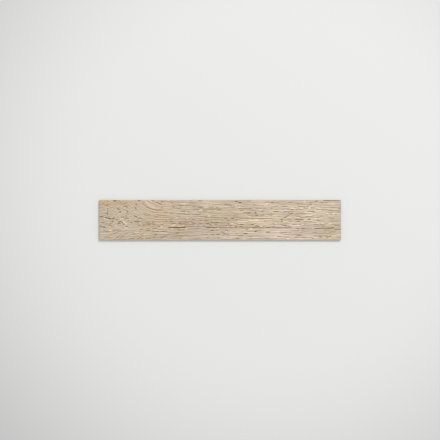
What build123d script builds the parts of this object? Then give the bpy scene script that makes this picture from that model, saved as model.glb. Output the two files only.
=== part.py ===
from build123d import *

import os
from math import floor

# Wood-look porcelain plank tile: one slab of clay, dry pressed, glazed, printed, fired and ground to
# size. All lengths are in millimetres. The origin is the middle of the bedding side, X runs along the
# plank, Y across it, and Z up to the glazed face.

# The slab. Its work size is the nominal 900 by 150 mm plank less a 2 mm joint.
plank_length = 898.0
plank_width = 148.0
plank_thickness = 9.5  # from the ribs of the back to the glazed face

# The ground edges.
face_bevel = 0.8  # legs of the 45 degree bevel round the glazed face
back_break = 0.4  # legs of the edge break round the bedding side
corner_break = 0.6  # legs of the flat on each upright corner

# The pressed back: shallow square cells with ribs between them, which key into the adhesive.
cell_mouth = 23.0  # side of a cell where it opens
cell_depth = 0.6
cell_draft = 35.0  # degrees that a cell's walls lean, so that the slab leaves the punch
cell_corner = 2.0  # legs of the flat across each corner of a cell's mouth
rib_width = 3.0  # bedding face of a rib, between two mouths
plain_band = 8.0  # least flat band between the cells and the slab's side


def cells_across(span):
    """How many cells fit in a row across a span, with a rib between them and a plain band at both ends."""
    return floor((span - 2 * plain_band + rib_width) / (cell_mouth + rib_width))


def make_slab():
    """The slab with its ground sides, before the pattern of the back."""
    with BuildPart() as slab:
        with BuildSketch() as outline:
            Rectangle(plank_length, plank_width)
            chamfer(outline.vertices(), corner_break)
        extrude(amount=plank_thickness)
        chamfer(slab.faces().sort_by(Axis.Z)[-1].edges(), face_bevel)
        chamfer(slab.faces().sort_by(Axis.Z)[0].edges(), back_break)
    return slab.part


def make_cell():
    """What one boss of the punch leaves open: a square with clipped corners that narrows as it goes in."""
    with BuildPart() as cell:
        with BuildSketch() as mouth:
            Rectangle(cell_mouth, cell_mouth)
            chamfer(mouth.vertices(), min(cell_corner, 0.45 * cell_mouth))
        extrude(amount=cell_depth, taper=cell_draft)
    return cell.part


def make_plank():
    """The finished plank: the slab with a centred field of cells pressed into its back."""
    pitch = cell_mouth + rib_width
    places = GridLocations(pitch, pitch, cells_across(plank_length), cells_across(plank_width))
    cell = make_cell()
    return make_slab() - [place * cell for place in places]


os.makedirs("parts", exist_ok=True)
plank = make_plank()
export_step(plank, "parts/plank_tile.step")

cell_total = cells_across(plank_length) * cells_across(plank_width)
print("cells in the back:", cell_total, " solid volume in litres:", round(plank.volume / 1e6, 4))
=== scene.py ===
from math import pi, radians, sqrt, tan

import bpy
import numpy as np
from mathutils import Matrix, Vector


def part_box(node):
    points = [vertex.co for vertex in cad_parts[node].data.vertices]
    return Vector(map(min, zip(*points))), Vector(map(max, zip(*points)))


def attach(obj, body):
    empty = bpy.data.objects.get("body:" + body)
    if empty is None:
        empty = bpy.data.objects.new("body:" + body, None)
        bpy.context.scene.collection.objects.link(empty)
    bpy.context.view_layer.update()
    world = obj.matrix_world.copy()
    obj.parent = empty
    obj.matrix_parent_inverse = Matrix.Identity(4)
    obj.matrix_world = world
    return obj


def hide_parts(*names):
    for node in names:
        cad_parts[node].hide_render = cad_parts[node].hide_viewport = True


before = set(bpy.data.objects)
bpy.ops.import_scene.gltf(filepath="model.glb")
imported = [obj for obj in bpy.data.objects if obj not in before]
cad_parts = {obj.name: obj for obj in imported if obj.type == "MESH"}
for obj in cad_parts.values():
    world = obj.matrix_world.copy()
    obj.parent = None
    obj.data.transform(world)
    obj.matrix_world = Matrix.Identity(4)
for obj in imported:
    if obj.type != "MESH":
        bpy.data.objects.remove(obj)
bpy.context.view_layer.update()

mm = 0.001  # the plank's own sizes below are in millimetres

# What shapes the plank's mesh. The first nine are the solid's own sizes.
plank = {
    "bevel": 0.8,
    "backBreak": 0.4,
    "cornerFlat": 0.6,
    "cellMouth": 23.0,
    "cellDepth": 0.6,
    "cellDraft": 35.0,  # degrees
    "cellCorner": 2.0,
    "ribWidth": 3.0,
    "plainBand": 8.0,
    "columns": 330,  # quads of the face along the plank
    "rows": 256,  # and across it
    "leftDetail": 0.62,  # share of an even spacing that the columns have at the left end
    "glazed": 0,  # the numbers of the three finishes
    "ground": 1,
    "raw": 2,
}

# The print and the press die, in millimetres from the middle of the plank, x to the right and y towards its
# far side. A level mark is where it starts, where it ends and its height, and a bent one is its points in
# turn. "ink" darkens it, or lightens it below zero, and "gap" is how far the ink of an open crack fills it.
marks = {
    "rifts": {
        "width": 2.0, "ink": 1.4, "gap": 1.0, "depth": 0.45,
        "level": [(-195, -126, -27.7)],
        "bent": [],
    },
    "fissures": {
        "width": 1.65, "ink": 1.17, "gap": 0.8, "depth": 0.42,
        "level": [
            (-433, -426, -27.2), (-415, -406, 5.5), (-397, -386, 71.3), (-381, -369, -13),
            (-376, -367, -5.2), (-305, -297, 72), (-155, -142, -12), (-56, -6, -27.7), (-36, -24, -38.2),
            (38, 52, 5.5), (54, 66, 68.5), (66, 81, 65), (72, 87, -16.5), (85, 103, -50), (163, 192, -27.7),
            (169, 188, -46), (188, 201, 64.5), (223, 234, 2.5), (226, 231, -5.2), (233, 247, -20.1),
            (282, 295, -31.4), (284, 306, -57.2), (299, 318, -31.4), (324, 337, 1.9), (381, 448, 72),
            (395, 407, -31.5), (437, 450, -34.7),
        ],
        "bent": [
            [(-430, 10), (-418, 7.5), (-414, 5.5), (-404, 5.5)], [(-365, -9), (-362, -11)],
            [(128, -43.5), (136, -42)], [(130, 30), (130.5, 25), (132.5, 25), (132.5, 30)],
            [(143, -26), (149, -27.7), (159, -27.7)], [(257, 21), (263, 24), (274, 24.5)],
            [(275, 1), (290, 2.7), (312, 1.5)], [(350, -31), (366, -31.5), (381, -31)],
            [(352, 69), (363, 72)], [(391, -31.5), (411, -31), (424, -27.5)],
        ],
    },
    "cracks": {
        "width": 1.6, "ink": 1.1, "gap": 0.35, "depth": 0.26,
        "level": [
            (-450, -433, -24), (-450, -433, 13), (-400, -391, 5.3), (-367, -358, 9.8), (-354, -342, -23.7),
            (-346, -343, 6.8), (-346, -341, 5.8), (-320, -290, -5.5), (-310, -300, -68.5),
            (-278, -257, -38.7), (-278, -255, -67.5), (-273, -257, -16.2), (-272, -263, -31.2),
            (-254, -246, 72.3), (-253, -245, -8.2), (-253, -232, -31), (-243, -235, -55),
            (-241, -226, -42.5), (-229, -222, -24.7), (-224, -196, -42.2), (-223, -212, -64.7),
            (-220, -209, 68.5), (-215, -195, -60.8), (-191, -129, -27.7), (-190, -172, -5.5),
            (-186, -174, 24.5), (-181, -162, -12.5), (-152, -124, 53.6), (-149, -127, 32.5),
            (-105, -70, 20.3), (-103, -90, 51), (-84, -63, 71.5), (-84, -62, 47), (-67, 6, 38.8),
            (-50, -42, -12.8), (-36, -3, -9.3), (-17, -5, 46.3), (-15, 0, -54), (-9, 51, -27.7), (15, 27, 6),
            (19, 27, -20), (25, 37, -1.9), (37, 44, -20), (52, 64, -25.2), (58, 73, -68.5), (65, 121, 42.5),
            (73, 84, -24.5), (73, 89, 35), (73, 166, 5.6), (75, 86, -57), (84, 117, 27.6), (93, 104, -35.2),
            (114, 127, -16.5), (115, 142, -27.7), (132, 139, 16.5), (152, 162, 32), (165, 189, 64.8),
            (188, 194, 24), (188, 194, 42.7), (190, 250, -27.7), (194, 220, 31.5), (210, 227, -60.7),
            (220, 251, -46.2), (229, 251, 50.5), (239, 246, 31.5), (246, 259, 38.8), (252, 256, 27.8),
            (253, 263, -26.2), (261, 275, 38.8), (267, 286, -16.6), (275, 292, -64.7), (278, 302, 13),
            (281, 287, 39.3), (282, 299, -5.5), (286, 312, 50), (291, 301, -16.6), (322, 354, 31.6),
            (342, 347, -68.5), (343, 370, -23.5), (345, 368, -16.6), (356, 371, 39), (370, 384, 64.8),
            (380, 392, -31.4), (400, 420, 35.2), (424, 435, 20), (424, 436, -35), (441, 449, 42.5),
        ],
        "bent": [
            [(-401, -4), (-398, -6)], [(-389, -66.5), (-376, -60.5)], [(-383, 43), (-372, 39)],
            [(-377, 28), (-371, 29), (-370, 34)], [(-359, -16), (-358, -18)],
            [(-358, 52), (-351, 49), (-343, 46)], [(-352, 14.5), (-350, 13)], [(-346, 33.5), (-342, 31)],
            [(-342, -71), (-330, -69.5), (-315, -68.5)], [(-322, 14), (-314, 13), (-306, 8)],
            [(-317, 45), (-311, 42)], [(-313, 60), (-308, 56)], [(-274, 50), (-262, 44), (-250, 39.5)],
            [(-241, 66), (-233, 64), (-225, 60), (-215, 57)], [(-222, -18.5), (-207, -14.5)],
            [(-178, 47), (-167, 48.5)], [(-165, -52), (-154, -47)], [(-108, -8.5), (-99, -12), (-91, -13.5)],
            [(-80, -9.5), (-75, -12), (-69, -14)], [(-58, -1), (-51, -2), (-45, -0.5)],
            [(-45, -13), (-38, -17), (-28, -18.5)], [(-22, -16), (-10, -17)], [(11, -55), (17, -50)],
            [(14, 57.5), (24, 57), (34, 55), (44, 54.5)], [(18, -52), (27, -54.5), (37, -55)],
            [(19, -36), (29, -40)], [(29, -14), (33, -17)],
            [(128, -19), (136, -21.5), (143, -25), (149, -27.5)], [(179, 21), (181, 18.5)],
            [(237, 9), (245, 10)], [(256, 19), (247, 13), (240, 9)], [(332, 60), (341, 56)],
            [(362, 0), (368, -3)], [(369, -60), (375, -64)], [(371, -16), (380, -17)],
            [(395, -61), (400, -65.5)], [(405, -62), (411, -59.5)], [(406, 8), (424, 5)],
            [(421, -19), (448, -20.5)],
        ],
    },
    "streaks": {
        "width": 1.6, "ink": 0.72, "gap": 0.0, "depth": 0.12,
        "level": [
            (-443, -428, -9.2), (-427, -416, 24), (-423, -414, 55), (-409, -401, -56.2), (-397, -386, 71.3),
            (-396, -390, -49.7), (-390, -374, 1.8), (-356, -347, 6.3), (-355, -342, -50), (-332, -326, -9),
            (-310, -301, -49.7), (-306, -296, -20), (-299, -293, -65), (-297, -288, -35), (-291, -282, -49),
            (-288, -279, -20), (-277, -257, -8.2), (-252, -247, -16), (-251, -246, -41.5), (-251, -242, -65),
            (-248, -240, -17.5), (-246, -230, 11.3), (-242, -211, 35.5), (-221, -212, 46.2),
            (-208, -195, 27.8), (-203, -196, -4), (-194, -187, -53), (-186, -174, 4), (-186, -136, -60),
            (-185, -174, 72), (-165, -146, 13), (-163, -126, 24), (-153, -143, -68.5), (-132, -76, -24),
            (-126, -114, 20.8), (-125, -107, 53.6), (-121, -114, 31.5), (-116, -101, 71.5), (-116, -90, 62),
            (-101, -67, -70), (-87, -47, 31.5), (-65, -54, -20.3), (-60, -44, -12.5), (-59, -38, 9.5),
            (-45, -22, 47), (-36, -24, -38.2), (-35, -21, -54), (-15, -7, -38), (38, 58, 46.2), (48, 68, 18),
            (50, 116, -27.7), (55, 67, -50), (62, 72, -16.5), (67, 81, 65), (70, 90, -16.5), (73, 104, -1.9),
            (86, 103, -50), (100, 113, 69.5), (101, 110, 24.5), (102, 120, -60.2), (103, 163, 16.6),
            (106, 126, -70), (115, 142, -27.7), (124, 130, 57), (131, 173, 42.5), (163, 170, -4.7),
            (164, 194, 5.6), (165, 186, -68), (186, 192, 16.8), (187, 203, 64.8), (192, 204, -24.2),
            (195, 219, 31.5), (199, 221, 65), (200, 214, 50.5), (203, 212, 38.8), (211, 228, 13),
            (230, 240, 38.8), (244, 253, -27.7), (252, 274, -5), (253, 266, 65.5), (257, 262, -46),
            (258, 274, 31.8), (261, 275, 38.8), (276, 341, 24), (281, 311, 61.3), (286, 312, 38.8),
            (290, 314, -38.7), (295, 302, -46), (300, 318, -64.5), (306, 341, -5.5), (316, 351, 13),
            (317, 364, -31.4), (322, 352, 31.6), (335, 352, 46.2), (342, 361, -46), (355, 370, 10),
            (371, 381, 13), (375, 393, -23.5), (375, 401, 39.3), (382, 390, -17), (387, 401, 65),
            (389, 394, -38.7), (391, 402, 20), (391, 424, 28.5), (400, 405, 9.3), (403, 446, -4.7),
            (407, 429, 46), (409, 418, 20), (419, 446, 35.2), (430, 448, -65), (430, 448, 28.5),
        ],
        "bent": [
            [(-434, -37), (-422, -43), (-405, -42.5)],
            [(-432, -67.5), (-420, -63), (-406, -65), (-400, -67)], [(-426, -12), (-412, -16), (-399, -27)],
            [(-419, 44), (-419, 17)], [(-407, -11), (-404, -12.5)],
            [(-401, -44), (-397, -38.5), (-384, -37.5), (-368, -42)], [(-391, -48), (-379, -43.5)],
            [(-375, -67), (-367, -66), (-357, -58)], [(-346, -1.5), (-337, -5)], [(-345, 21), (-343, 20)],
            [(-327, -46), (-322, -50), (-314, -51)], [(-309, -59), (-302, -58)],
            [(-306, 4), (-297, 7), (-287, 1)], [(-297, -55), (-284, -58.5)], [(-295, -72), (-287, -69)],
            [(-292, 68), (-285, 61), (-279, 54), (-270, 48)], [(-286, 24), (-277, 18), (-257, 17.5)],
            [(-270, 70), (-261, 64), (-249, 61), (-242, 57), (-225, 46)],
            [(-254, 41), (-240, 37.5), (-222, 35)], [(-236, -21), (-228, -24)],
            [(-236, 21), (-226, 17), (-200, 16.5)], [(-191, 1.5), (-178, 5)], [(-186, 64.5), (-173, 62)],
            [(-163, 46), (-160, 45)], [(-159, -35), (-152, -38), (-139, -36), (-130, -39.5)],
            [(-155, 43), (-145, 45)], [(-142, -12.5), (-114, -10)], [(-132, -1.5), (-122, 3), (-112, 6.5)],
            [(-107, -1.5), (-99, 2.5), (-90, -1)], [(-99, 41), (-90, 40), (-76, 39.5)],
            [(-91, -33), (-75, -30)], [(-79, 0.5), (-73, -1.5), (-67, -1)], [(-74, -54.5), (-44, -53.5)],
            [(-49, -68), (-46, -63), (-42, -60)], [(-10, -67), (-2, -68)], [(3, -43.5), (13, -46)],
            [(62, -59), (77, -57)], [(127, -44), (137, -40.5), (151, -36)],
            [(150, 18), (160, 20), (165, 18)], [(158, -21), (163, -25), (161, -31), (157, -28)],
            [(192, -1), (203, -4), (218, -5.5)], [(194, -14), (208, -16)], [(197, 23), (204, 24)],
            [(222, -17.3), (236, -18)], [(250, 4.5), (256, 3), (265, 5)], [(312, 48), (315, 46)],
            [(313, -16), (320, -13.5)], [(320, 50), (329, 51.5)], [(331, 64), (338, 65.5), (346, 64)],
            [(347, -61), (367, -60)], [(401, -49), (410, -46), (430, -45.5)],
        ],
    },
    "ridges": {
        "width": 1.8, "ink": -0.56, "gap": 0.0, "depth": -0.03,
        "level": [
            (-424, -413, -9.5), (-407, -400, -60.5), (-374, -366, -46), (-371, -369, 2.3),
            (-365, -362, 50.8), (-356, -344, -28), (-355, -352, 45.8), (-349, -343, -55.7),
            (-307, -304, -64), (-299, -293, -1.2), (-292, -283, -45.5), (-290, -275, -53.2),
            (-270, -265, -27), (-244, -230, -37), (-223, -196, -47.2), (-218, -214, -10.7), (-186, -182, 57),
            (-164, -120, 27.8), (-146, -126, 58), (-139, -130, 49.5), (-124, -119, 5.8), (-105, -77, 25),
            (-75, -43, 54), (-45, -10, 35), (-38, -28, -32.2), (-13, -3, -32), (14, 23, -64),
            (22, 25, -42.2), (38, 42, -42.7), (38, 47, -64), (42, 52, -23.7), (45, 74, 31.5), (59, 68, -45),
            (74, 99, 31.5), (74, 103, 2), (84, 91, -67.7), (122, 148, 11), (144, 158, 59), (146, 156, 38),
            (156, 167, 10), (165, 171, 54), (178, 190, 10), (190, 204, 27.5), (247, 267, 9),
            (252, 277, -10.2), (275, 312, -69.5), (307, 345, -1.7), (311, 343, 28), (313, 337, -60.5),
            (329, 334, 44.3), (340, 370, -27.5), (345, 367, 6), (345, 376, 35), (375, 381, 8),
            (380, 391, -64), (403, 413, -68),
        ],
        "bent": [
            [(-424, 3), (-411, -1)], [(-422, 30), (-422, 38)], [(-396, -57), (-386, -62), (-378, -57)],
            [(-276, 69), (-266, 61), (-257, 51), (-240, 44)], [(-262, 71), (-252, 66)],
            [(-237, 51), (-226, 46)], [(-203, 57), (-190, 55)], [(-45, 14), (-35, 15)], [(-12, 15), (5, 13)],
            [(106, -1), (144, 0)], [(178, 35), (245, 36)], [(240, 36), (250, 35)], [(412, 59), (424, 58)],
        ],
    },
    "glints": {
        "width": 1.7, "ink": -1.02, "gap": 0.0, "depth": -0.04,
        "level": [
            (-430, -428, 4.8), (-412, -405, -38), (-365, -362, 4.8), (-355, -352, 45.8), (-351, -349, -13),
            (-345, -343, 1.8), (-318, -302, -45.5), (-308, -301, -53.5), (-299, -293, -9.2),
            (-222, -217, -24.7), (-186, -166, -22.2), (-184, -176, -32.2), (-176, -164, -17.2),
            (-164, -158, 8.8), (-150, -120, -32.2), (-123, -120, 5.8), (-95, -86, -20), (-80, -66, 35.3),
            (-29, 5, -4.5), (25, 30, -24), (39, 48, -13.2), (58, 61, 53), (59, 103, -5.5), (66, 96, -13),
            (68, 75, 48), (87, 97, -45), (107, 112, 12.5), (111, 120, -31.7), (147, 157, -23.7),
            (171, 177, 61.3), (204, 210, -12), (247, 257, -69), (254, 301, -20.5), (264, 273, 44),
            (277, 297, 9), (294, 303, -41.7), (297, 310, 44.3), (311, 318, 68.5), (311, 343, 28),
            (315, 342, 18), (329, 334, 44.3), (342, 345, 56.8), (343, 370, -64.7), (374, 385, -12),
            (394, 401, 24.5), (404, 411, -12.5), (417, 427, 24.5), (431, 441, 24.5),
        ],
        "bent": [
            [(-388, -20), (-386, -21)], [(-376, 24.5), (-374, 23.5)], [(-359, -5), (-358, -9)],
            [(-163, -22), (-145, -23), (-132, -20)], [(-118, 43), (-116, 42)], [(-45, 14), (-35, 15)],
            [(357, -12), (371, -11)], [(360, 44), (369, 43)],
        ],
    },
}

# Areas of the print with a tint of their own, as shares of the plank's mean colour in red, green and blue.
# A patch is the middle, the reach along and across, and the strength.
tones = {
    "ochre": {
        "tint": (0.97, 0.92, 0.80),
        "patches": [(-431, 63, 32, 11, 1.25), (-392, 60, 36, 12, 0.8), (-349, 63, 28, 10, 0.9)],
    },
    "olive": {
        "tint": (0.90, 0.91, 0.89),
        "patches": [(-413, 7, 30, 22, 1.0), (-335, -59, 62, 14, 0.7), (402, -41, 40, 19, 0.85),
                    (-104, 44, 44, 20, 0.4), (308, -42, 26, 12, 0.3)],
    },
    "rose": {
        "tint": (1.02, 1.02, 1.10),
        "patches": [(-346, -22, 34, 28, 0.7), (-90, 70, 54, 7, 0.9), (278, 67, 44, 9, 0.9),
                    (241, 34, 22, 14, 1.2), (10, -42, 56, 22, 0.7), (-316, 37, 26, 20, 0.3),
                    (-390, 20, 30, 14, 0.5), (130, 40, 26, 12, 0.4), (302, 17, 16, 10, 0.5),
                    (408, 42, 26, 10, 0.4), (146, -62, 46, 10, 0.35)],
    },
    "tan": {
        "tint": (0.95, 0.90, 0.84),
        "patches": [(-242, 8, 36, 26, 0.6), (-279, -26, 30, 24, 0.8),
                    (74, -26, 50, 10, 0.6), (55, 7, 30, 20, 0.5), (-15, 15, 30, 20, 0.3)],
    },
    "peach": {
        "tint": (1.05, 1.0, 0.98),
        "patches": [(-210, 22, 42, 34, 1.1), (-283, -16, 16, 12, 0.8), (80, -26, 20, 10, 0.6),
                    (268, -13, 44, 10, 0.75), (85, 34, 20, 10, 0.35), (122, 0, 22, 10, 0.35),
                    (-430, 50, 14, 6, 0.6), (-380, 49, 16, 6, 0.6), (-350, 46, 12, 5, 0.6)],
    },
    "straw": {
        "tint": (0.99, 1.01, 0.95),
        "patches": [(-262, 52, 28, 20, 0.9), (-13, 18, 34, 24, 1.1), (142, -4, 42, 14, 0.9),
                    (-145, -22, 18, 10, 1.2), (424, -28, 22, 28, 0.6), (-250, -8, 20, 12, 0.6),
                    (-370, 70, 44, 6, 1.0)],
    },
    "sage": {
        "tint": (0.985, 1.0, 1.0),
        "patches": [(402, 22, 28, 26, 1.0), (212, 8, 16, 12, 0.8), (290, -43, 16, 10, 0.6),
                    (-75, -44, 40, 14, 0.8), (-76, 24, 36, 14, 0.5)],
    },
    "umber": {
        "tint": (0.82, 0.79, 0.74),
        "patches": [(-140, -14, 42, 18, 0.7), (-156, -52, 40, 18, 0.8), (-15, -22, 46, 26, 0.55)],
    },
    "ash": {
        "tint": (0.92, 0.92, 0.93),
        "patches": [(-86, -33, 38, 26, 0.6), (122, 33, 28, 16, 0.2), (-90, 71, 52, 6, 1.0),
                    (278, 67, 44, 9, 0.4), (-431, 63, 24, 10, 0.5)],
    },
    "cream": {
        "tint": (1.16, 1.17, 1.18),
        "patches": [(137, -4, 50, 13, 1.2), (185, -48, 50, 18, 1.2), (160, 62, 50, 14, 0.75),
                    (349, 24, 50, 30, 0.8), (390, 60, 48, 18, 0.4), (315, -63, 46, 12, 0.95),
                    (263, -12, 32, 16, 0.4), (419, 11, 30, 22, 0.5), (-30, 55, 36, 16, 0.5),
                    (-253, 60, 26, 12, 0.5), (44, -52, 40, 16, 0.4)],
    },
}

# Smaller areas of the same kind, kept closer to where they are written.
# The two long thin ones along the near and far edges are painted light and painted shade.
shades = {
    "light": {
        "tint": (1.1, 1.1, 1.1),
        "patches": [
            (-405, 65, 11, 6, 1.4), (-336, -68, 9, 7, 1), (-295, -31, 9, 7, 0.9), (-270, -48, 10, 10, 0.8),
            (-180, 72, 11, 5, 1.2), (-155, -29, 26, 7, 0.9), (-130, -68, 12, 6, 1.2), (-70, 67, 38, 7, 1.3),
            # (0, -74, 600, 3, 0.5) is painted light along the whole near edge, against the shade on its bevel
            (-58, -54, 16, 11, 1), (-56, 38, 14, 9, 1), (-17, -23, 13, 8, 1.5), (0, -74, 600, 3, 0.5),
            (84, 39, 20, 6, 0.8), (85, -35, 40, 7, 0.9), (125, -70, 14, 5, 0.7), (153, 36, 14, 14, 0.8),
            (174, -27, 10, 6, 0.8), (187, 66, 8, 10, 1.3), (204, 38, 9, 11, 0.9), (205, 18, 20, 11, 1.1),
            (215, -61, 18, 11, 1), (218, -56, 10, 7, 0.9), (218, 12, 12, 8, 1.1), (235, -29, 10, 4, 0.9),
            (247, -36, 16, 11, 0.75), (252, 43, 18, 8, 1.7), (265, -71, 10, 5, 1.4), (286, 45, 13, 9, 1.3),
            (297, -17, 18, 9, 0.7), (335, -61, 8, 5, 0.9), (352, -26, 14, 16, 1.2), (413, 29, 12, 7, 0.7),
            (428, -64, 26, 13, 1.5),
        ],
    },
    "dark": {
        "tint": (0.905, 0.905, 0.905),
        "patches": [
            (-440, 45, 15, 13, 0.8), (-438, -1, 14, 8, 0.7), (-400, -70, 56, 6, 0.8), (-382, 70, 12, 6, 1.6),
            (-369, -50, 9, 8, 0.9), (-354, 52, 11, 14, 1.4), (-332, 22, 12, 7, 0.7), (-295, -10, 28, 7, 1),
            (-247, -48, 9, 8, 0.9), (-238, -66, 26, 8, 1.6), (-207, 4, 22, 12, 0.95), (-165, 59, 18, 7, 1.1),
            (-142, -12, 10, 6, 0.8), (-90, -12, 12, 8, 0.9), (-83, 52, 10, 7, 1.1), (-63, 5, 12, 8, 0.8),
            (-38, -38, 11, 6, 1), (-30, 32, 10, 12, 0.9), (-24, 3, 18, 6, 0.9), (-4, -2, 24, 13, 0.9),
            # (0, 74, 600, 3, 0.4) is painted shade along the whole far edge, against the key light on its
            # bevel
            (0, 74, 600, 3, 0.4), (5, -15, 8, 7, 0.9), (30, -40, 14, 6, 0.7), (55, 18, 14, 11, 0.7),
            (63, 3, 9, 8, 1.6), (70, 70, 40, 6, 0.8), (92, 62, 8, 12, 0.9), (95, -12, 10, 10, 0.8),
            (108, -19, 20, 8, 1), (115, -20, 8, 9, 1), (119, 34, 9, 7, 0.9), (137, 50, 18, 8, 1.1),
            (148, -44, 14, 13, 1), (158, -68, 11, 6, 1), (195, -43, 11, 7, 0.8), (230, 65, 12, 9, 0.75),
            (237, 27, 11, 7, 1.2), (250, -63, 12, 6, 0.9), (257, -21, 12, 8, 1.1), (275, 71, 12, 5, 1.5),
            (283, -54, 9, 8, 1), (290, 2, 10, 5, 0.9), (315, 27, 10, 10, 0.9), (318, -62, 12, 9, 1.2),
            (330, -23, 16, 5, 0.7), (352, 68, 9, 8, 1), (368, -58, 24, 9, 1.5), (380, 4, 9, 8, 0.9),
            (385, 50, 18, 8, 0.8), (416, -29, 11, 7, 1.1), (428, 5, 18, 7, 0.9), (446, 40, 9, 13, 1.2),
        ],
    },
    "blush": {
        "tint": (1.03, 0.985, 1.0),
        "patches": [
            (-385, -66, 46, 9, 0.7), (-358, 56, 40, 8, 0.55), (-300, -68, 60, 8, 0.5),
            (-240, -60, 24, 12, 0.5), (-182, -28, 28, 12, 0.55), (-122, -4, 26, 18, 0.8),
            (-62, -2, 30, 12, 0.5), (155, -5, 34, 12, 0.55), (268, -66, 14, 9, 0.5), (360, -68, 30, 6, 0.7),
        ],
    },
    "lichen": {
        "tint": (0.975, 1.01, 1.0),
        "patches": [
            (-428, -12, 22, 26, 0.5), (-420, 72, 34, 5, 1), (-290, -16, 46, 12, 0.6),
            (-264, -24, 16, 10, 0.5), (75, -12, 24, 16, 0.55), (120, -54, 14, 14, 0.5),
            (212, -2, 14, 10, 0.5), (446, 62, 14, 14, 0.9),
        ],
    },
    "honey": {
        "tint": (1.0, 1.01, 0.96),
        "patches": [
            (-420, -68, 20, 7, 1), (-352, -6, 26, 10, 0.7), (-345, 30, 22, 30, 0.5), (-345, 66, 50, 8, 0.8),
            (-305, -62, 44, 14, 0.9), (-15, -2, 30, 8, 0.5), (232, 62, 18, 8, 0.9), (268, 50, 20, 10, 0.5),
            (276, 25, 18, 14, 0.7), (295, -66, 26, 10, 0.7), (422, -66, 20, 10, 0.8),
            (422, -24, 12, 14, 0.5),
        ],
    },
    "frost": {
        "tint": (1.0, 0.99, 1.04),
        "patches": [
            (-412, 52, 12, 14, 0.5), (-412, 62, 12, 10, 0.8), (-400, -28, 34, 14, 0.5),
            (-272, -26, 20, 12, 0.6), (-250, 70, 60, 7, 0.9), (-235, -68, 22, 8, 0.5),
            (-235, 30, 20, 12, 0.5), (-170, 71, 110, 4, 1), (160, -66, 34, 10, 0.8), (160, 66, 90, 6, 0.6),
            (170, 71, 50, 4, 1), (215, -26, 34, 14, 0.55), (340, 66, 50, 7, 0.5),
        ],
    },
}

# How the grain runs: its rings climb to the far side at the left end, and close round the knots. Beyond the
# rings it is short and curly, and leans.
flow = {
    "ringEnd": -238.0,  # where the rings begin to climb
    "ringSoft": 25.0,
    "ringSlope": 0.62,
    "ringReach": 95.0,
    "ringLift": (-45, 95),  # from where to where across the plank the climb grows
    "leastLoose": 0.4,  # how much of the bends the lines have on the right
    "looser": (120, 240),  # from where to where on the left they come to have all of them
    "knots": [(161, -27, 5, 4), (152, 29, 10, 4), (334, 57, 8, 4), (301, -42, 9, 4), (418, -50, 14, 5),
              (-302, -52, 12, 5), (-344, -14, 12, 5)],  # x, y, radius, how far lines are pushed
    "knotStretch": 1.5,  # how much further that reaches along the plank than across
    "wavy": (-96, -4, 44, 15, 3.0),  # middle, reach along and across, and how far lines are pushed
    "lean": 33.0,  # degrees that the curly grain falls to the right
    "curlyEnd": (262, 330),  # from where to where on the left the grain turns curly
    "curlySide": (-52, -18),  # and across the plank
}

# Noise in layers: how strong a layer is, how long and how wide its waves are in mm, and its seed. The bends,
# the ripple, the slide and the curls move the lines of the grain, the wobble moves the strokes, and the drift
# the patches.
waves = {
    "bend": [(1.6, 110, 30, 11), (1.2, 34, 20, 12), (0.7, 11, 9, 13)],
    "ripple": [(1.0, 11, 9, 13)],
    "slide": [(4.0, 60, 12, 14)],
    "curlX": [(4.0, 24, 20, 15)],
    "curlY": [(5.0, 34, 19, 16), (0.8, 9, 8, 17)],
    "curlyEdge": [(16, 30, 14, 43)],
    "straight": [(1.0, 90, 3.6, 21), (0.6, 30, 3.4, 22), (0.35, 9, 3.4, 27)],
    "curly": [(1.0, 10, 3.2, 24), (0.5, 5, 2.8, 25), (0.3, 26, 7, 26)],
    "wobbleX": [(1.2, 21, 9, 31)],
    "wobbleY": [(0.55, 16, 12, 32), (0.35, 5, 6, 33)],
    "ragged": [(0.3, 9, 2.5, 34)],
    "driftX": [(14, 45, 22, 41)],
    "driftY": [(6, 45, 22, 42)],
    "roll": [(0.03, 90, 40, 51)],
}

# Thin broken creases along the lines, dark below zero: how strong, how long and how far apart, and the seed.
creases = {
    "straight": [(-0.8, 130, 6.4, 61), (-0.5, 50, 5.6, 62), (0.5, 95, 6.0, 63)],
    "curly": [(-0.8, 16, 5.6, 64), (0.6, 14, 5.6, 65)],
}

# How the strokes are drawn, and how lines, strokes and patches are put together.
oak = {
    "fade": 6.0,  # mm over which a stroke fades out at both ends, at most
    "fadeShare": 0.22,  # of its length, where that is less
    "short": (5, 14),  # a stroke up to the first is blunt and a little wider, and one past the second isn't
    "shortWider": 0.25,
    "endWidth": 0.65,  # width of a stroke's ends, as a share of its middle's
    "meanCover": 0.95,  # of the strokes, which the ragged noise breaks up
    "cleared": 0.75,  # how far a stroke clears the grain under it
    "lineReach": 8,  # rows either side that a line of the grain is set against
    "curlyLines": 0.2,  # how much stronger lines are in the curly grain
    "curlyInk": 0.45,  # and strokes
    "patchFall": 0.7,  # how fast a patch fades: more is smaller
    "shadeDrift": 0.2,  # how far the smaller patches drift, as a share of the others' drift
    "endShadeReach": 8.0,  # how far in from both ends a painted shade makes the print greyer and darker
    "endShadeTint": (0.95, 0.99, 1.10),
    "pressed": 0.12,  # mm that the plain print lies below the bevel's upper edge
    "lineDepth": 0.035,
    "deepest": 0.5,  # how far below that edge the relief may reach
}


def smoothStep(value, start, end):
    # 0 before start and 1 past end, with a soft S between
    share = np.clip((value - start) / (end - start), 0, 1)
    return share * share * (3 - 2 * share)


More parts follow.
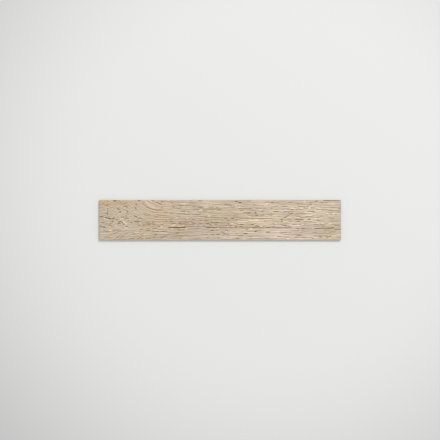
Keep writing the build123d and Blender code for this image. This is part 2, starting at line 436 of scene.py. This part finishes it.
def gradientNoise(u, v, seed, side=256):
    # Smooth noise of about -1 to 1. Each corner of a lattice has a slope in a direction drawn at random, and
    # the four slopes round a point are blended by a fifth-order step along both sides.
    turn = np.random.default_rng(seed).uniform(0, 2 * pi, (side, side))
    cellU = np.floor(u).astype(int)
    cellV = np.floor(v).astype(int)
    intoU = u - cellU
    intoV = v - cellV
    blendU = intoU**3 * (intoU * (6 * intoU - 15) + 10)
    blendV = intoV**3 * (intoV * (6 * intoV - 15) + 10)

    def slope(du, dv):
        angle = turn[(cellU + du) % side, (cellV + dv) % side]
        return np.cos(angle) * (intoU - du) + np.sin(angle) * (intoV - dv)

    near = slope(0, 0) + blendU * (slope(1, 0) - slope(0, 0))
    far = slope(0, 1) + blendU * (slope(1, 1) - slope(0, 1))
    return 1.5 * (near + blendV * (far - near))  # 1.5 brings the blend to the range above


def layered(u, v, name):
    # the layers of noise that have a name in waves, added up
    return sum(size * gradientNoise(u / length, v / width, seed) for size, length, width, seed in waves[name])


def evened(field):
    # the same field with a mean of 0 and a spread of 1
    return (field - field.mean()) / field.std()


def withoutBands(field):
    # The field less its own mean over some rows on both sides, so that its lines are thin and no broad band
    # of light or dark is left.
    reach = oak["lineReach"]
    padded = np.pad(field, ((0, 0), (reach + 1, reach)), mode="edge")
    total = np.cumsum(padded, axis=1)
    return field - (total[:, 2 * reach + 1:] - total[:, :-2 * reach - 1]) / (2 * reach + 1)


def fromMiddle(x, y, middleX, middleY, reachX, reachY):
    # 0 at the middle of an oval, 1 on its edge, and growing with the square of the distance
    return ((x - middleX) / reachX) ** 2 + ((y - middleY) / reachY) ** 2


def grainFlow(x, y):
    # Where a point lies along the grain and across its rings, in mm. Lines of equal "across" are the grain:
    # y itself, less a soft ramp towards the left end, plus a bell at each knot, plus slow noise.
    past = flow["ringEnd"] - x
    ramp = 0.5 * (past + np.sqrt(past**2 + flow["ringSoft"] ** 2))
    climb = flow["ringReach"] * np.tanh(ramp / flow["ringReach"])
    across = y - flow["ringSlope"] * climb * smoothStep(y, *flow["ringLift"])
    for knotX, knotY, radius, push in flow["knots"]:
        across = across + push * np.exp(-fromMiddle(x, y, knotX, knotY, flow["knotStretch"] * radius, radius))
    *place, push = flow["wavy"]
    wavy = push * np.exp(-fromMiddle(x, y, *place))
    loose = flow["leastLoose"] + (1 - flow["leastLoose"]) * smoothStep(-x, *flow["looser"])
    across = across + loose * layered(x, y, "bend") + wavy * layered(x, y, "ripple")
    return x + layered(x, y, "slide"), across


def curlyFlow(x, y):
    # The same for the curly end: the plane turned by the lean, and bent by noise much more.
    lean = radians(flow["lean"])
    bentX = x + layered(x, y, "curlX")
    bentY = y + layered(x, y, "curlY")
    return bentX * np.cos(lean) - bentY * np.sin(lean), bentX * np.sin(lean) + bentY * np.cos(lean)


def creaseLines(along, across, length, pitch, seed):
    # Thin broken lines along the grain, with a spread of about 1: they follow the zeros of a noise, and a
    # second noise breaks them.
    line = np.exp(-((gradientNoise(along / length, across / pitch, seed) / 0.24) ** 2))
    broken = smoothStep(gradientNoise(along / (0.45 * length), across / 9, seed + 20), -0.35, 0.25)
    return evened(line * broken)


def grainLines(along, across, kind):
    # The lines of one kind of grain, with a mean of 0 and a spread of 1: its noise, and creases over it.
    lines = evened(layered(along, across, kind))
    for share, length, pitch, seed in creases[kind]:
        lines = lines + share * creaseLines(along, across, length, pitch, seed)
    return evened(lines)


def strokeCover(x, y, path, width):
    # How fully a stroke covers each point: a bell across its width, which fades towards both ends.
    points = np.array(path, float)
    steps = np.diff(points, axis=0)
    spans = np.hypot(steps[:, 0], steps[:, 1])
    length = spans.sum()
    nearest = np.full(x.shape, np.inf)
    place = np.zeros(x.shape)
    done = 0.0
    for (startX, startY), (stepX, stepY), span in zip(points[:-1], steps, spans):
        share = np.clip(((x - startX) * stepX + (y - startY) * stepY) / span**2, 0, 1)
        away = np.hypot(x - startX - share * stepX, y - startY - share * stepY)
        place = np.where(away < nearest, (done + share * span) / length, place)
        nearest = np.minimum(nearest, away)
        done += span
    fade = min(oak["fade"], oak["fadeShare"] * length)
    blunt = 1 - smoothStep(length, *oak["short"])
    taper = smoothStep(np.minimum(place, 1 - place) * length, -(0.5 + blunt) * fade, fade)
    reach = width * (1 + oak["shortWider"] * blunt) * (oak["endWidth"] + (1 - oak["endWidth"]) * taper)
    return taper * np.exp(-((nearest / reach) ** 2))


def drawnStrokes(x, y):
    # What the marks do at each point: their ink, how deep they are carved, how far ink fills an open crack,
    # and how much of the grain they leave.
    wobbleX = x + layered(x, y, "wobbleX")
    wobbleY = y + layered(x, y, "wobbleY")
    ragged = oak["meanCover"] + layered(x, y, "ragged")
    ink, carved, crack = np.zeros((3, *x.shape))
    left = np.ones(x.shape)
    for group in marks.values():
        cover = np.zeros(x.shape)
        level = [[(start, height), (end, height)] for start, end, height in group["level"]]
        for path in level + group["bent"]:
            cover = np.maximum(cover, strokeCover(wobbleX, wobbleY, path, group["width"]))
        cover = cover * ragged
        left = left * (1 - oak["cleared"] * np.clip(cover, 0, 1))
        ink = ink + group["ink"] * cover
        carved = carved + group["depth"] * cover
        crack = np.maximum(crack, group["gap"] * cover)
    return ink, carved, crack, left


def tinted(x, y, areas):
    # The colour that a set of areas gives each point: every patch is a soft oval of its tint.
    tint = np.ones((*x.shape, 3))
    for area in areas.values():
        for *place, strength in area["patches"]:
            share = strength * np.exp(-oak["patchFall"] * fromMiddle(x, y, *place))
            tint = tint * (1 + share[..., None] * (np.array(area["tint"]) - 1))
    return tint


def printTint(x, y):
    # The colour of the tones, of the shades, which drift less, and of the painted shade that greys both ends.
    driftX = layered(x, y, "driftX")
    driftY = layered(x, y, "driftY")
    share = oak["shadeDrift"]
    tint = tinted(x + driftX, y + driftY, tones) * tinted(x + share * driftX, y + share * driftY, shades)
    # painted shade: both ends greyer, cooler and a little darker
    ends = np.exp(-(((x.max() - np.abs(x)) / oak["endShadeReach"]) ** 2))
    return tint * (1 + ends[..., None] * (np.array(oak["endShadeTint"]) - 1))


def woodFields(x, y):
    # All that the print and the relief need at each point of the face, as plain arrays.
    along, across = grainFlow(x, y)
    edge = layered(x, y, "curlyEdge")
    curly = smoothStep(-x + edge, *flow["curlyEnd"]) * smoothStep(y + edge, *flow["curlySide"])
    straightLines = grainLines(along, across, "straight")
    curlyLines = grainLines(*curlyFlow(x, y), "curly")
    lines = evened(withoutBands(straightLines + curly * (curlyLines - straightLines)))
    ink, carved, crack, left = drawnStrokes(x, y)
    depth = oak["pressed"] - oak["lineDepth"] * lines + carved + layered(x, y, "roll")
    return {
        "grain": np.stack([along, across, curly], -1),
        "streak": lines * left * (1 + oak["curlyLines"] * curly),
        "ink": ink * (1 + oak["curlyInk"] * curly),
        "crack": crack,
        "tint": np.concatenate([printTint(x, y), np.ones((*x.shape, 1))], -1),
        "depth": np.clip(depth, 0, oak["deepest"]),
    }


class Shell:
    # The points and faces of one mesh as they are made, in mm, with the number of each face's finish.
    def __init__(self):
        self.points = np.zeros((0, 3))
        self.faces = []
        self.finishes = []

    def place(self, points):
        # Adds points, and gives back their numbers.
        first = len(self.points)
        self.points = np.concatenate([self.points, points])
        return first + np.arange(len(points))

    def cover(self, faces, finish):
        self.faces += faces.tolist()
        self.finishes += [finish] * len(faces)


def cellsOf(index):
    # The corners of every cell of a grid, anticlockwise seen from above.
    return np.stack([index[:-1, :-1], index[1:, :-1], index[1:, 1:], index[:-1, 1:]], -1).reshape(-1, 4)


def borderOf(index):
    # The four sides of a grid, anticlockwise, with each corner in both of its sides.
    return [index[:, 0], index[-1, :], index[::-1, -1], index[0, ::-1]]


def makeFace(shell, reach):
    # The face: an uneven grid, closer at the left end, sunk by the relief. Where its edge is sunk, it reaches
    # further out along the bevel.
    halfLength, halfWidth, top = reach
    share = np.linspace(0, 1, plank["columns"] + 1)
    stretch = plank["leftDetail"] * share + (1 - plank["leftDetail"]) * share**2
    gridX = (2 * stretch - 1) * (halfLength - plank["bevel"])
    gridY = np.linspace(-1, 1, plank["rows"] + 1) * (halfWidth - plank["bevel"])
    x, y = np.meshgrid(gridX, gridY, indexing="ij")
    fields = woodFields(x, y)
    sunk = fields["depth"]
    atX = x.copy()
    atY = y.copy()
    atX[0] -= sunk[0]
    atX[-1] += sunk[-1]
    atY[:, 0] -= sunk[:, 0]
    atY[:, -1] += sunk[:, -1]
    index = shell.place(np.stack([atX, atY, top - sunk], -1).reshape(-1, 3)).reshape(x.shape)
    shell.cover(cellsOf(index), plank["glazed"])
    return gridX, gridY, borderOf(index), fields


def ringAt(gridX, gridY, reach, inset, height):
    # One ring of points round the slab, at an inset from its sides and at a height. They stand where the
    # face's border has them, but each side ends at the flats of its corners.
    halfLength, halfWidth, top = reach
    corner = plank["cornerFlat"] + inset * tan(radians(22.5))
    alongX = gridX.copy()
    alongY = gridY.copy()
    alongX[[0, -1]] = corner - halfLength, halfLength - corner
    alongY[[0, -1]] = corner - halfWidth, halfWidth - corner
    sideX = np.full(alongY.shape, halfLength - inset)
    sideY = np.full(alongX.shape, halfWidth - inset)
    ring = [(alongX, -sideY), (sideX, alongY), (alongX[::-1], sideY), (-sideX, alongY[::-1])]
    ring = np.concatenate([np.stack(side, -1) for side in ring])
    return np.column_stack([ring, np.full(len(ring), height)])


def makeSides(shell, reach, gridX, gridY, faceBorder):
    # The bevel, the ground sides and the broken edges of the back, from one ring of points to the next. Gives
    # back the four sides of the lowest ring, as numbers and as points.
    rim = plank["backBreak"]
    upper = np.concatenate(faceBorder)
    for inset, height in ((0, reach[2] - plank["bevel"]), (0, rim), (rim, 0.0)):
        ring = ringAt(gridX, gridY, reach, inset, height)
        lower = shell.place(ring)
        quads = np.stack([upper, lower, np.roll(lower, -1), np.roll(upper, -1)], -1)
        single = quads[:, 0] == quads[:, 3]  # at a corner the face has one point where the bevel has two
        shell.cover(quads[~single], plank["ground"])
        shell.cover(quads[single][:, :3], plank["ground"])
        upper = lower
    ends = np.cumsum([len(side) for side in faceBorder])[:-1]
    return np.split(lower, ends), np.split(ring, ends)


def clippedSquare(half, corner, height):
    # The eight points of a square with clipped corners, anticlockwise from its right side.
    near = half - corner
    ring = [(half, -near), (half, near), (near, half), (-near, half),
            (-half, near), (-half, -near), (-near, -half), (near, -half)]
    return np.column_stack([ring, np.full(8, height)])


def makeCells(shell, reach):
    # The back's lattice of squares, each with the mouth, walls and floor of one cell. Gives back the border of
    # the lattice, and where its lines run along and across the plank.
    pitch = plank["cellMouth"] + plank["ribWidth"]
    lines = []
    for half in reach[:2]:
        count = int((2 * (half - plank["plainBand"]) + plank["ribWidth"]) // pitch)
        lines.append((np.arange(count + 1) - count / 2) * pitch)
    lattice = np.stack(np.meshgrid(*lines, [0.0], indexing="ij"), -1).reshape(-1, 3)
    index = shell.place(lattice).reshape([len(line) for line in lines])

    lean = plank["cellDepth"] * tan(radians(plank["cellDraft"]))
    half = plank["cellMouth"] / 2
    mouth = clippedSquare(half, plank["cellCorner"], 0.0)
    floorCorner = plank["cellCorner"] - lean * (2 - sqrt(2))
    cellFloor = clippedSquare(half - lean, floorCorner, plank["cellDepth"])
    middles = np.meshgrid(*[line[:-1] + pitch / 2 for line in lines], [0.0], indexing="ij")
    middles = np.stack(middles, -1).reshape(-1, 1, 3)
    cell = shell.place((middles + np.concatenate([mouth, cellFloor])).reshape(-1, 3)).reshape(-1, 16).T
    corner = cellsOf(index).T
    faces = []
    for side in range(4):
        # side 0 is the right one, and they go round anticlockwise seen from above
        here, there = corner[(side + 1) % 4], corner[(side + 2) % 4]
        first, second = cell[2 * side], cell[2 * side + 1]
        faces.append((here, first, second, there))
        faces.append((there, second, cell[(2 * side + 2) % 8]))
    for k in range(8):
        after = (k + 1) % 8
        faces.append((cell[k], cell[8 + k], cell[8 + after], cell[after]))
    for order in ((2, 1, 0, 7), (3, 2, 7, 6), (4, 3, 6, 5)):
        faces.append([cell[8 + k] for k in order])
    for face in faces:
        shell.cover(np.stack(face, -1), plank["raw"])
    return borderOf(index), lines


def seamBetween(outer, inner, outerPlace, innerPlace):
    # Triangles between two rows of points along one line, where the outer row has more. Each outer step is
    # joined to the inner point nearest its middle, and each inner step to the outer point where that changes.
    outerMiddle = (outerPlace[:-1] + outerPlace[1:]) / 2
    innerMiddle = (innerPlace[:-1] + innerPlace[1:]) / 2
    apex = np.searchsorted(innerMiddle, outerMiddle)
    turning = np.searchsorted(apex, np.arange(len(inner) - 1), side="right")
    fromOuter = np.stack([outer[1:], outer[:-1], inner[apex]], 1)
    fromInner = np.stack([inner[:-1], inner[1:], outer[turning]], 1)
    return np.concatenate([fromOuter, fromInner])


def makeBand(shell, outer, outerPoints, inner, lines):
    # The plain band round the cells, between the four sides of the lowest ring and of the lattice.
    for side in range(4):
        axis = side % 2
        places = outerPoints[side][:, axis] * (1 if side < 2 else -1)
        shell.cover(seamBetween(outer[side], inner[side], places, lines[axis]), plank["raw"])
        following = outer[(side + 1) % 4][0]
        shell.cover(np.array([[following, outer[side][-1], inner[side][-1]]]), plank["raw"])


def makePlank():
    reach = np.array(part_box("plank_tile")[1]) / mm
    shell = Shell()
    gridX, gridY, faceBorder, fields = makeFace(shell, reach)
    lowest, lowestPoints = makeSides(shell, reach, gridX, gridY, faceBorder)
    latticeBorder, lines = makeCells(shell, reach)
    makeBand(shell, lowest, lowestPoints, latticeBorder, lines)

    finishes = np.array(shell.finishes)
    mesh = bpy.data.meshes.new("wood_look_plank")
    mesh.from_pydata((shell.points * mm).tolist(), [], shell.faces)
    mesh.polygons.foreach_set("material_index", finishes)
    mesh.polygons.foreach_set("use_smooth", finishes == plank["glazed"])
    for name, kind, field in (("grain", "FLOAT_VECTOR", "vector"), ("streak", "FLOAT", "value"),
                              ("ink", "FLOAT", "value"), ("crack", "FLOAT", "value"),
                              ("tint", "FLOAT_COLOR", "color")):
        # the face's points come first, and the others have no print
        values = fields[name].reshape(gridX.size * gridY.size, -1)
        values = np.pad(values, ((0, len(shell.points) - len(values)), (0, 0)))
        mesh.attributes.new(name, kind, "POINT").data.foreach_set(field, values.astype(np.float32).ravel())
    mapForBake(mesh, finishes, reach * mm)
    mesh.update()
    piece = bpy.data.objects.new("wood_look_plank", mesh)
    bpy.context.collection.objects.link(piece)
    return piece


# The flat map that the finishes are baked to. The face fills the upper part, stretched across the grain, the
# back lies below it, and the sides are strips at the foot. Each part has its start and its size, from 0 to 1.
bakeMap = {
    "length": (0.005, 0.99),
    "face": (0.46, 0.535),
    "back": (0.125, 0.32),
    "ends": (0.082, 0.030),
    "leftEnd": (0.01, 0.48),
    "rightEnd": (0.51, 0.48),
    "farSide": (0.042, 0.030),
    "nearSide": (0.004, 0.030),
}


def mapForBake(mesh, finishes, reach):
    corner = np.empty(len(mesh.loops), np.int32)
    mesh.loops.foreach_get("vertex_index", corner)
    places = np.empty(len(mesh.vertices) * 3)
    mesh.vertices.foreach_get("co", places)
    places = places.reshape(-1, 3)[corner]
    shareX, shareY = ((places[:, :2] / reach[:2] + 1) / 2).T
    height = places[:, 2] / reach[2]
    counts = np.empty(len(mesh.polygons), np.int32)
    mesh.polygons.foreach_get("loop_total", counts)
    normals = np.empty(len(mesh.polygons) * 3)
    mesh.polygons.foreach_get("normal", normals)
    normalX, normalY = np.repeat(normals.reshape(-1, 3)[:, :2], counts, axis=0).T
    finish = np.repeat(finishes, counts)
    isSide = finish == plank["ground"]
    isEnd = isSide & (np.abs(normalX) > np.abs(normalY))

    def placed(part, share):
        start, size = bakeMap[part]
        return start + size * share

    u = np.where(normalX < 0, placed("leftEnd", shareY), placed("rightEnd", shareY))
    u = np.where(isEnd, u, placed("length", shareX))
    v = np.where(finish == plank["glazed"], placed("face", shareY), placed("back", shareY))
    alongSide = np.where(normalY < 0, placed("nearSide", height), placed("farSide", height))
    v = np.where(isSide, np.where(isEnd, placed("ends", height), alongSide), v)
    layer = mesh.uv_layers.new(name="OFBake")
    layer.uv.foreach_set("vector", np.stack([u, v], -1).astype(np.float32).ravel())


def plugIn(node, sockets):
    # Gives each socket of a node its value, or its link where the value is a wire.
    for name, value in sockets.items():
        if isinstance(value, Wire):
            value.tree.links.new(value.socket, node.inputs[name])
        else:
            node.inputs[name].default_value = value


class Wire:
    # An output socket that can be used in sums: each operator adds a Math node and gives back its output.
    def __init__(self, tree, socket=None):
        self.tree = tree
        self.socket = socket

    def node(self, kind, settings, sockets, output=0):
        # Adds a node, its settings first, then each socket's value or link, and gives back one output.
        new = self.tree.nodes.new("ShaderNode" + kind)
        for name, value in settings.items():
            if name == "stops":
                for place, colour in value[2:]:
                    new.color_ramp.elements.new(place)
                for element, (place, colour) in zip(new.color_ramp.elements, value):
                    element.position = place
                    element.color = (*colour, 1)
            else:
                setattr(new, name, value)
        plugIn(new, sockets)
        return Wire(self.tree, new.outputs[output])

    def maths(self, operation, first, second):
        return self.node("Math", {"operation": operation}, {0: first, 1: second})

    def __add__(self, other):
        return self.maths("ADD", self, other)

    def __sub__(self, other):
        return self.maths("SUBTRACT", self, other)

    def __rsub__(self, other):
        return self.maths("SUBTRACT", other, self)

    def __mul__(self, other):
        return self.maths("MULTIPLY", self, other)

    __radd__ = __add__
    __rmul__ = __mul__

    def within(self, low, high):
        # 0 at low, 1 at high, a soft S between
        return self.node("MapRange", {"interpolation_type": "SMOOTHSTEP"},
                         {"Value": self, "From Min": low, "From Max": high})

    def noise(self, scale, detail, roughness):
        # Noise of 0 to 1 on a vector that is first multiplied by a scale along each axis.
        stretched = self.node("VectorMath", {"operation": "MULTIPLY"}, {0: self, 1: scale})
        return self.node("TexNoise", {"noise_dimensions": "3D"},
                         {"Vector": stretched, "Scale": 1.0, "Detail": detail, "Roughness": roughness})

    def attribute(self, name, output):
        return self.node("Attribute", {"attribute_name": name}, {}, output)

    def colourMix(self, share, first, second, blend="MIX"):
        return self.node("Mix", {"data_type": "RGBA", "blend_type": blend},
                         {0: share, 6: first, 7: second}, output=2)

    def bump(self, height, distance):
        return self.node("Bump", {}, {"Strength": 1.0, "Distance": distance, "Height": height})


def newMaterial(name):
    material = bpy.data.materials.new(name)
    material.use_nodes = True
    return material, material.node_tree.nodes["Principled BSDF"], Wire(material.node_tree)


def linear(red, green, blue):
    # a screen colour of 0 to 255 as the shader's linear numbers
    return tuple(((c / 255 + 0.055) / 1.055) ** 2.4 for c in (red, green, blue))


# The matt printed glaze. The wood colours run from the ink of a crack to a bleached ridge. A fine layer has
# the length and width of its waves in mm, a turn for the curly grain, the detail and roughness of its noise,
# what it adds to the print and what to the relief. Of pores and flecks only the peaks of the noise are left.
glaze = {
    "wood": [(0.0, linear(123, 103, 75)), (0.25, linear(165, 147, 121)), (0.5, linear(198, 180, 156)),
             (0.75, linear(222, 205, 181)), (1.0, linear(244, 227, 204))],
    "layers": {
        "fibre": {"waves": (26, 1.3, 0), "noise": (3.0, 0.6), "print": 0.16, "relief": 0.6},
        "thread": {"waves": (12, 0.45, 0), "noise": (2.0, 0.5), "print": 0.10, "relief": 0.25},
        "pore": {"waves": (8, 0.8, 0), "noise": (1.0, 0.5), "peaks": (0.62, 0.74), "print": -0.07,
                 "relief": -0.5},
        "hair": {"waves": (9, 0.2, 0), "noise": (2.0, 0.6), "print": 0.42, "relief": 0.2},
        "fleck": {"waves": (2.2, 0.28, 7), "noise": (0.0, 0.5), "peaks": (0.62, 0.76), "print": -0.30,
                  "relief": -0.3},
    },
    "evenOut": 0.024,  # lifts the print by what the flecks darken it
    "streakShare": 0.127,
    "inkShare": 0.433,
    "inkDepth": 0.5,  # on the scale of the layers' relief
    "inkRagged": 0.9,  # how far the fibres break up the ink
    "crackInk": linear(86, 64, 32),
    "crackShare": 0.85,
    "crackRagged": 0.8,
    "crackFills": (0.30, 0.85),
    "reliefHeight": 0.12,  # mm
}


def makeGlaze():
    material, shader, add = newMaterial("printed_matt_glaze")
    grain = add.attribute("grain", "Vector")
    streak, ink, crack = [add.attribute(name, "Fac") for name in ("streak", "ink", "crack")]
    fine = {}
    for name, layer in glaze["layers"].items():
        length, width, turn = layer["waves"]
        noise = grain.noise((1 / length, 1 / width, turn), *layer["noise"])
        fine[name] = noise.within(*layer["peaks"]) if "peaks" in layer else noise - 0.5

    raggedInk = ink * (1 + glaze["inkRagged"] * fine["fibre"])
    shade = 0.5 + glaze["evenOut"] + glaze["streakShare"] * streak - glaze["inkShare"] * raggedInk
    relief = -glaze["inkDepth"] * raggedInk
    for name, layer in glaze["layers"].items():
        shade = shade + layer["print"] * fine[name]
        relief = relief + layer["relief"] * fine[name]
    wood = add.node("ValToRGB", {"stops": glaze["wood"]}, {"Fac": shade})
    toned = add.colourMix(1.0, wood, add.attribute("tint", "Color"), "MULTIPLY")
    inCrack = (crack * (1 + glaze["crackRagged"] * fine["fibre"])).within(*glaze["crackFills"])
    plugIn(shader, {
        "Base Color": add.colourMix(inCrack * glaze["crackShare"], toned, (*glaze["crackInk"], 1)),
        "Roughness": 0.57 + 0.10 * fine["fibre"] + 0.2 * inCrack,
        "Normal": add.bump(relief, glaze["reliefHeight"] * mm),
    })
    return material


# The fired body, where the sides and the bevel are ground through the glaze. The noises have their waves to
# the metre along the three axes, their detail and their roughness.
body = {
    "clay": linear(180, 166, 145),
    "grit": linear(148, 134, 116),
    "engobe": linear(196, 184, 165),
    "glazeEdge": linear(168, 146, 116),
    "glazeDepth": 0.35,  # mm below the face where the glaze ends
    "engobeDepth": 0.55,
    "lineSoft": 0.04,  # mm above and below both lines in which the colours blend
    "lineWander": 0.2,  # mm, from the lowest to the highest
    "speck": ((2600, 2600, 2600), 2.0, 0.6),
    "speckPeaks": (0.60, 0.75),
    "cloud": ((90, 90, 300), 3.0, 0.6),
    "scratch": ((60, 60, 5200), 1.0, 0.5),
    "reliefHeight": 0.06,  # mm
}


def makeGroundSide():
    material, shader, add = newMaterial("ground_porcelain_side")
    place = add.node("TexCoord", {}, {}, output="Object")
    height = add.node("SeparateXYZ", {}, {"Vector": place}, output="Z")
    speck = place.noise(*body["speck"]).within(*body["speckPeaks"])
    cloud = place.noise(*body["cloud"])
    scratch = place.noise(*body["scratch"])
    level = height + (cloud - 0.5) * (body["lineWander"] * mm)

    def above(depth):
        # 1 from some mm below the face upwards, and 0 further down
        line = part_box("plank_tile")[1][2] - depth * mm
        return level.within(line - body["lineSoft"] * mm, line + body["lineSoft"] * mm)

    clay = add.colourMix(0.25 * cloud + 0.4 * speck, (*body["clay"], 1), (*body["grit"], 1))
    dressed = add.colourMix(above(body["engobeDepth"]), clay, (*body["engobe"], 1))
    plugIn(shader, {
        "Base Color": add.colourMix(above(body["glazeDepth"]), dressed, (*body["glazeEdge"], 1)),
        "Roughness": 0.58 + 0.12 * scratch,
        "Normal": add.bump(scratch * 0.7 + speck * 0.3, body["reliefHeight"] * mm),
    })
    return material


# The raw back: clouded clay, with white kiln wash that the rollers have rubbed onto the ribs.
back = {
    "clay": linear(178, 163, 142),
    "darkClay": linear(156, 141, 120),
    "wash": linear(212, 207, 197),
    "washShare": 0.55,
    "washReach": (0.02, 0.25),  # mm up from the ribs where the wash thins, and where it ends
    "washPeaks": (0.42, 0.62),
    "cloud": ((22, 22, 22), 4.0, 0.6),
    "grit": ((1500, 1500, 1500), 2.0, 0.6),
    "smear": ((14, 70, 10), 3.0, 0.6),
    "reliefHeight": 0.08,  # mm
}


def makeRawBack():
    material, shader, add = newMaterial("raw_porcelain_back")
    place = add.node("TexCoord", {}, {}, output="Object")
    height = add.node("SeparateXYZ", {}, {"Vector": place}, output="Z")
    cloud, grit, smear = [place.noise(*back[name]) for name in ("cloud", "grit", "smear")]
    start, end = back["washReach"]
    onRib = 1 - height.within(start * mm, end * mm)
    wash = onRib * smear.within(*back["washPeaks"])
    clay = add.colourMix(cloud, (*back["clay"], 1), (*back["darkClay"], 1))
    plugIn(shader, {
        "Base Color": add.colourMix(wash * back["washShare"], clay, (*back["wash"], 1)),
        "Roughness": 0.74 + 0.12 * grit,
        "Normal": add.bump(grit * 0.6 + cloud * 0.4, back["reliefHeight"] * mm),
    })
    return material


piece = makePlank()
for material in (makeGlaze(), makeGroundSide(), makeRawBack()):
    piece.data.materials.append(material)
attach(piece, "root")
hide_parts("plank_tile")
print("plank made,", len(piece.data.polygons), "faces")

# The studio: a pale floor, one soft key from the upper right, an even fill, and a camera straight above.
studio = {
    "floorSide": 24.0,
    "floorHeight": -0.00005,  # just clear of the back
    # The floor's colour holds a painted pool of light: palest round one point, darker away from it.
    "floorPale": 0.807,
    "floorDim": 0.46,
    "floorTint": (1.0, 1.0, 0.995),
    "paintedLightMiddle": (0.16, 0.12, 0),  # where the floor is palest
    "paintedLightFade": (0.6, 1.9),  # how far from there it begins to darken, and is darkest
    "keyWatts": 688.0,
    "keySize": 3.8,
    "keyPlace": (4.5, 7.15, 8.5),
    "fill": 0.67,
    "mirrored": 0.8,  # the same light as the glaze reflects it
    "skyline": 0.41,  # and as a low view shows it, close to the far floor
    "lens": 85.0,
    "frameWidth": 1.634,  # metres across the picture at the height of the face
    "cameraPlace": (-0.0004, 0),
}


def makeFloor():
    half, height = studio["floorSide"] / 2, studio["floorHeight"]
    corners = [(x * half, y * half, height) for x, y in ((-1, -1), (1, -1), (1, 1), (-1, 1))]
    mesh = bpy.data.meshes.new("studio_floor")
    mesh.from_pydata(corners, [], [(0, 1, 2, 3)])
    floor = bpy.data.objects.new("studio_floor", mesh)
    bpy.context.collection.objects.link(floor)
    material, shader, add = newMaterial("pale_floor")
    place = add.node("TexCoord", {}, {}, output="Object")
    apart = add.node("VectorMath", {"operation": "DISTANCE"}, {0: place, 1: studio["paintedLightMiddle"]}, "Value")
    pale, dim = [(*(studio[shade] * share for share in studio["floorTint"]), 1)
                 for shade in ("floorPale", "floorDim")]
    # painted light: the floor is palest near one point and darker away from it
    colour = add.colourMix(apart.within(*studio["paintedLightFade"]), pale, dim)
    plugIn(shader, {"Base Color": colour, "Roughness": 0.9, "Specular IOR Level": 0.1})
    mesh.materials.append(material)


def makeLights():
    lamp = bpy.data.lights.new("key", "AREA")
    lamp.shape = "DISK"
    lamp.size = studio["keySize"]
    lamp.energy = studio["keyWatts"]
    key = bpy.data.objects.new("key", lamp)
    key.location = studio["keyPlace"]
    key.rotation_euler = key.location.to_track_quat("Z", "Y").to_euler()
    bpy.context.collection.objects.link(key)
    world = bpy.data.worlds.new("fill")
    world.use_nodes = True
    bpy.context.scene.world = world
    add = Wire(world.node_tree)
    seen = add.node("LightPath", {}, {}, output="Is Camera Ray")
    glossy = add.node("LightPath", {}, {}, output="Is Glossy Ray")
    fill = studio["fill"]
    strength = fill + (studio["mirrored"] - fill) * glossy + (studio["skyline"] - fill) * seen
    plugIn(world.node_tree.nodes["Background"], {"Color": (1, 1, 1, 1), "Strength": strength})


def makeCamera():
    lens = bpy.data.cameras.new("camera")
    lens.lens = studio["lens"]
    camera = bpy.data.objects.new("camera", lens)
    away = studio["frameWidth"] * studio["lens"] / lens.sensor_width
    camera.location = (*studio["cameraPlace"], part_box("plank_tile")[1][2] + away)
    bpy.context.collection.objects.link(camera)
    bpy.context.scene.camera = camera


makeFloor()
makeLights()
makeCamera()
bpy.context.scene.view_settings.view_transform = "Standard"
print("studio made")
